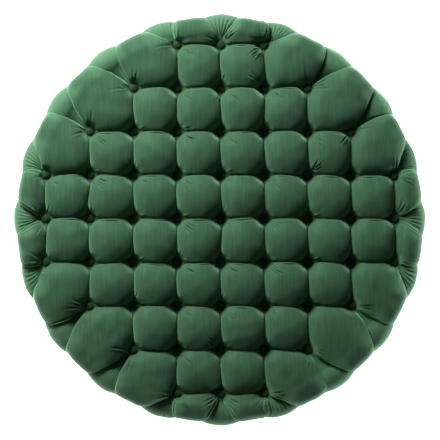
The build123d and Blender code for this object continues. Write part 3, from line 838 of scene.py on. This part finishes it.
class Paint:
    """A node material with a Principled shader, and short calls for the nodes that feed it."""

    def __init__(self, name, rough, **sockets):
        self.material = bpy.data.materials.new(name)
        self.material.use_nodes = True
        self.tree = self.material.node_tree
        self.shader = self.tree.nodes["Principled BSDF"]
        self.shader.inputs["Roughness"].default_value = rough
        for socket, value in sockets.items():
            self.shader.inputs[socket.replace("_", " ")].default_value = value
        self.place = self.tree.nodes.new("ShaderNodeTexCoord").outputs["Object"]

    def node(self, kind, **values):
        made = self.tree.nodes.new(kind)
        for key, value in values.items():
            if key in made.inputs:
                made.inputs[key].default_value = value
            else:
                setattr(made, key, value)
        return made

    def link(self, out, into):
        self.tree.links.new(out, into)

    def mapped(self, scale):
        made = self.node("ShaderNodeMapping", Scale=scale)
        self.link(self.place, made.inputs["Vector"])
        return made.outputs["Vector"]

    def noise(self, scale, detail=2.0, stretch=(1, 1, 1), rough=0.5):
        made = self.node("ShaderNodeTexNoise", Scale=scale, Detail=detail, Roughness=rough)
        self.link(self.mapped(stretch), made.inputs["Vector"])
        return made.outputs["Fac"]

    def ramp(self, value, *stops):
        made = self.node("ShaderNodeValToRGB")
        for n, (place, colour) in enumerate(stops):
            stop = made.color_ramp.elements[n] if n < 2 else made.color_ramp.elements.new(place)
            stop.position = place
            stop.color = (*colour, 1)
        self.link(value, made.inputs["Fac"])
        return made.outputs["Color"]

    def mix(self, factor, a, b):
        made = self.node("ShaderNodeMix", data_type="RGBA", blend_type="MIX")
        for value, socket in ((factor, 0), (a, 6), (b, 7)):
            if isinstance(value, bpy.types.NodeSocket):
                self.link(value, made.inputs[socket])
            else:
                made.inputs[socket].default_value = value
        return made.outputs[2]

    def maths(self, operation, *values):
        made = self.node("ShaderNodeMath", operation=operation)
        for n, value in enumerate(values):
            if isinstance(value, bpy.types.NodeSocket):
                self.link(value, made.inputs[n])
            else:
                made.inputs[n].default_value = value
        return made.outputs[0]

    def between(self, value, low, high):
        made = self.node("ShaderNodeMapRange", interpolation_type="SMOOTHSTEP")
        for socket, bound in (("From Min", low), ("From Max", high)):
            made.inputs[socket].default_value = bound
        self.link(value, made.inputs["Value"])
        return made.outputs["Result"]

    def painted_gusset_sheen(self):
        """Painted sheen: how far the lid's gussets are lightened, where they turn down and catch more light.
        """
        axes = self.node("ShaderNodeSeparateXYZ")
        self.link(self.place, axes.inputs["Vector"])
        x, y = axes.outputs["X"], axes.outputs["Y"]
        square = self.maths("ADD", self.maths("MULTIPLY", x, x), self.maths("MULTIPLY", y, y))
        radius = self.maths("SQRT", square)
        gussets = self.maths("COSINE", self.maths("MULTIPLY", self.maths("ARCTAN2", y, x), float(LOBES)))
        outward = self.between(radius, *GUSSET_SHEEN_RADII)
        above = self.between(axes.outputs["Z"], *GUSSET_SHEEN_HEIGHTS)
        beside = self.maths("MULTIPLY", self.between(gussets, *GUSSET_SHEEN_WAVE), GUSSET_SHEEN_MOST)
        return self.maths("MULTIPLY", self.maths("MULTIPLY", outward, above), beside)

    def colour(self, out):
        self.link(out, self.shader.inputs["Base Color"])

    def bump(self, value, strength, depth):
        made = self.node("ShaderNodeBump", Strength=strength, Distance=depth)
        self.link(value, made.inputs["Height"])
        self.link(made.outputs["Normal"], self.shader.inputs["Normal"])


def velvet(name, depth, lid=False):
    """Short green pile. Less depth mixes the tone towards black as painted shade and weakens the sheen, and
    the lid's copy has a painted sheen that lightens its gussets.
    """
    p = Paint(
        name,
        0.60,
        Sheen_Weight=0.60 * depth,
        Sheen_Roughness=0.5,
        Sheen_Tint=(0.47, 1.0, 0.57, 1),
        Specular_IOR_Level=0.15,
        Specular_Tint=(0.4, 1.0, 0.5, 1),
    )
    nap = p.noise(26, 3, (1, 0.45, 1))
    streak = p.noise(240, 2, (1, 0.07, 0.07))
    pile = p.noise(1500, 2)
    tone = p.ramp(nap, (0.3, (0.020, 0.050, 0.026)), (0.7, (0.027, 0.065, 0.034)))
    tone = p.mix(0.22, tone, p.ramp(streak, (0.3, (0.014, 0.045, 0.024)), (0.7, (0.075, 0.170, 0.098))))
    tone = p.mix(0.18, tone, p.ramp(pile, (0.35, (0.014, 0.042, 0.022)), (0.65, (0.075, 0.165, 0.095))))
    # Painted shade: less depth mixes the tone towards black.
    tone = p.mix(1 - depth, tone, (0, 0, 0, 1))
    # Painted sheen: the lid's copy is lightened on its gussets where they turn down.
    if lid:
        tone = p.mix(p.painted_gusset_sheen(), tone, (*GUSSET_SHEEN_COLOUR, 1))
    p.colour(tone)
    height = p.maths("ADD", p.maths("MULTIPLY", pile, 0.5), p.maths("MULTIPLY", streak, 0.7))
    p.bump(height, 0.25, 0.0006)
    return p.material


def plywood():
    p = Paint("plywood", 0.62)
    grain = p.noise(9, 5, (1, 9, 1), 0.62)
    plies = p.node("ShaderNodeTexWave", wave_type="BANDS", bands_direction="Z", Scale=110.0, Distortion=0.6)
    p.link(p.place, plies.inputs["Vector"])
    tone = p.ramp(grain, (0.30, (0.42, 0.27, 0.14)), (0.68, (0.64, 0.46, 0.27)))
    tone = p.mix(p.maths("MULTIPLY", plies.outputs["Fac"], 0.25), tone, (0.30, 0.18, 0.09, 1))
    p.colour(tone)
    p.bump(grain, 0.25, 0.0008)
    return p.material


def hardboard():
    p = Paint("hardboard", 0.55)
    speck = p.noise(320, 4)
    p.colour(p.ramp(speck, (0.3, (0.13, 0.070, 0.035)), (0.7, (0.24, 0.14, 0.075))))
    p.bump(speck, 0.3, 0.0005)
    return p.material


def woven(name, dark, light, threads, rough=0.9, sheen=0.15):
    p = Paint(name, rough, Sheen_Weight=sheen)
    waves = []
    for direction in ("X", "Y", "Z"):
        wave = p.node("ShaderNodeTexWave", wave_type="BANDS", bands_direction=direction, Scale=threads)
        wave.inputs["Distortion"].default_value = 0.5
        wave.inputs["Detail Scale"].default_value = 2.0
        p.link(p.place, wave.inputs["Vector"])
        waves.append(wave.outputs["Fac"])
    weave = p.maths("MULTIPLY", p.maths("ADD", p.maths("ADD", waves[0], waves[1]), waves[2]), 0.333)
    slub = p.noise(60, 4, (1, 1, 3))
    tone = p.ramp(p.maths("MULTIPLY", p.maths("ADD", weave, slub), 0.5), (0.3, dark), (0.7, light))
    p.colour(tone)
    p.bump(weave, 0.4, 0.0005)
    return p.material


def stained_wood():
    p = Paint("dark_stained_wood", 0.32, Coat_Weight=0.25)
    grain = p.noise(14, 6, (6, 6, 0.8), 0.6)
    p.colour(p.ramp(grain, (0.30, (0.012, 0.007, 0.004)), (0.72, (0.060, 0.032, 0.018))))
    p.bump(grain, 0.15, 0.0006)
    return p.material


def painted_steel():
    p = Paint("black_powder_coat", 0.45, Metallic=0.0, Specular_IOR_Level=0.5)
    orange_peel = p.noise(700, 2)
    p.colour(p.ramp(orange_peel, (0.3, (0.012, 0.012, 0.013)), (0.7, (0.022, 0.022, 0.024))))
    p.bump(orange_peel, 0.25, 0.0003)
    return p.material


def zinc_steel():
    p = Paint("zinc_plated_steel", 0.34, Metallic=1.0)
    haze = p.noise(90, 4)
    p.colour(p.ramp(haze, (0.3, (0.44, 0.44, 0.46)), (0.7, (0.62, 0.62, 0.63))))
    p.bump(p.noise(900, 2, (1, 1, 0.1)), 0.12, 0.0002)
    return p.material


def moulded(name, dark, light, rough):
    p = Paint(name, rough)
    speck = p.noise(500, 3)
    p.colour(p.ramp(speck, (0.3, dark), (0.7, light)))
    p.bump(speck, 0.2, 0.0003)
    return p.material


green = velvet("green_velvet", 1.0)
# the lid's copy carries a painted sheen on its gussets
lid_green = velvet("green_velvet_lid_painted_sheen", 1.0, lid=True)
shaded_button_green = velvet("green_velvet_painted_shade", 0.45)  # for the buttons: the tone darkened as painted shade of the pits they sit in
wood = plywood()
board = hardboard()
lining = woven("lining_cloth", (0.16, 0.16, 0.15), (0.34, 0.34, 0.32), 420)
cambric = woven("black_cambric", (0.006, 0.006, 0.006), (0.022, 0.022, 0.022), 300)
twine_cloth = woven("waxed_twine", (0.42, 0.36, 0.24), (0.66, 0.58, 0.42), 500)
dark_wood = stained_wood()
black_steel = painted_steel()
zinc = zinc_steel()
rubber = moulded("black_rubber", (0.010, 0.010, 0.010), (0.024, 0.024, 0.024), 0.8)
plastic = moulded("black_nylon", (0.012, 0.012, 0.012), (0.028, 0.028, 0.029), 0.5)

by_slot = {
    "velvet": green,
    "foam": twine_cloth,  # wholly under the covers
    "twine": twine_cloth,
    "lining": lining,
    "dust_cloth": cambric,
    "plywood": wood,
    "hardboard": board,
    "dark_wood": dark_wood,
    "steel": zinc,
    "black_steel": black_steel,
    "bumper_rubber": rubber,
    "plastic": plastic,
}
slot_of = {part["node"]: part["material_slot"] for part in frame["record"]["subparts"]}
for name, thing in frame["nodes"].items():
    # The buttons take the velvet darkened with painted shade.
    material = shaded_button_green if name in ("lid_buttons", "base_buttons") else by_slot[slot_of[name]]
    if thing.data.materials:
        for n in range(len(thing.data.materials)):
            thing.data.materials[n] = material
    else:
        thing.data.materials.append(material)
for piece in lid_pieces:
    piece.data.materials.append(lid_green)
drum_cover.data.materials.append(green)

# ---- Floor, light and camera ----------------------------------------------------------------------
floor_data = bpy.data.meshes.new("floor")
FLOOR_HALF = 6.0
floor_corners = [(x * FLOOR_HALF, y * FLOOR_HALF, 0) for x, y in ((-1, -1), (1, -1), (1, 1), (-1, 1))]
floor_data.from_pydata(floor_corners, [], [(0, 1, 2, 3)])
floor = bpy.data.objects.new("floor", floor_data)
bpy.context.scene.collection.objects.link(floor)
pale = Paint("pale_floor", 0.9, Emission_Color=(1, 1, 1, 1), Emission_Strength=1.1)
pale.colour(pale.ramp(pale.noise(3, 2), (0.3, (0.90, 0.90, 0.90)), (0.7, (0.93, 0.93, 0.93))))
floor_data.materials.append(pale.material)

world = bpy.data.worlds.new("studio")
world.use_nodes = True
nodes, links = world.node_tree.nodes, world.node_tree.links
sky = nodes.new("ShaderNodeTexCoord")
direction = nodes.new("ShaderNodeSeparateXYZ")
fade = nodes.new("ShaderNodeMapRange")  # pale round the horizon, dark overhead
fade.interpolation_type = "SMOOTHSTEP"
for socket, value in (("From Min", 0.02), ("From Max", 0.24), ("To Min", 0.7), ("To Max", 0.012)):
    fade.inputs[socket].default_value = value
links.new(sky.outputs["Generated"], direction.inputs["Vector"])
links.new(direction.outputs["Z"], fade.inputs["Value"])
links.new(fade.outputs["Result"], nodes["Background"].inputs["Strength"])
nodes["Background"].inputs["Color"].default_value = (1, 1, 1, 1)
bpy.context.scene.world = world


def area_light(name, place, target, size, power):
    """A round lamp at a place, turned to its target."""
    data = bpy.data.lights.new(name, "AREA")
    data.shape = "DISK"
    data.size = size
    data.energy = power
    lamp = bpy.data.objects.new(name, data)
    lamp.location = place
    aim = np.array(target, float) - np.array(place, float)
    aim /= np.linalg.norm(aim)
    lamp.rotation_euler = (math.acos(-aim[2]), 0, math.atan2(aim[1], aim[0]) - math.pi / 2)
    bpy.context.scene.collection.objects.link(lamp)


area_light("key", (-1.20, 1.87, 1.62), (0, 0, 0.40), size=1.1, power=139)
area_light("soft_top", (-0.6, 0.6, 3.8), (0, 0, 0.3), size=2.4, power=6)
# Two low lamps brighten the turned-down edge of the lid. They stand too low to light its top.
area_light("low_right", (2.3, 0.1, 0.14), (0, 0, 0.36), size=0.5, power=46)
area_light("low_front", (0.5, -2.3, 0.14), (0, 0, 0.36), size=0.5, power=18)

camera_data = bpy.data.cameras.new("camera")
camera = bpy.data.objects.new("camera", camera_data)
bpy.context.scene.collection.objects.link(camera)
DISTANCE = 3.2
VIEW_LEVEL = WIDEST_Z + 0.02
LID_SHARE = 0.937  # of the view's width
FRAME_WIDTH = 2 * LID_RADIUS / LID_SHARE
STEP_BACK, STEP_LEFT = 0.10, 0.09  # the view is not quite plumb
AIM_X, AIM_Y = -0.0018, -0.0038
camera.location = (AIM_X - STEP_LEFT, AIM_Y - STEP_BACK, VIEW_LEVEL + DISTANCE)
camera.rotation_euler = (math.atan(STEP_BACK / DISTANCE), -math.atan(STEP_LEFT / DISTANCE), 0)
camera_data.angle = 2 * math.atan(FRAME_WIDTH / 2 / DISTANCE)
camera_data.clip_end = 50
bpy.context.scene.camera = camera
bpy.context.scene.view_settings.view_transform = "Standard"
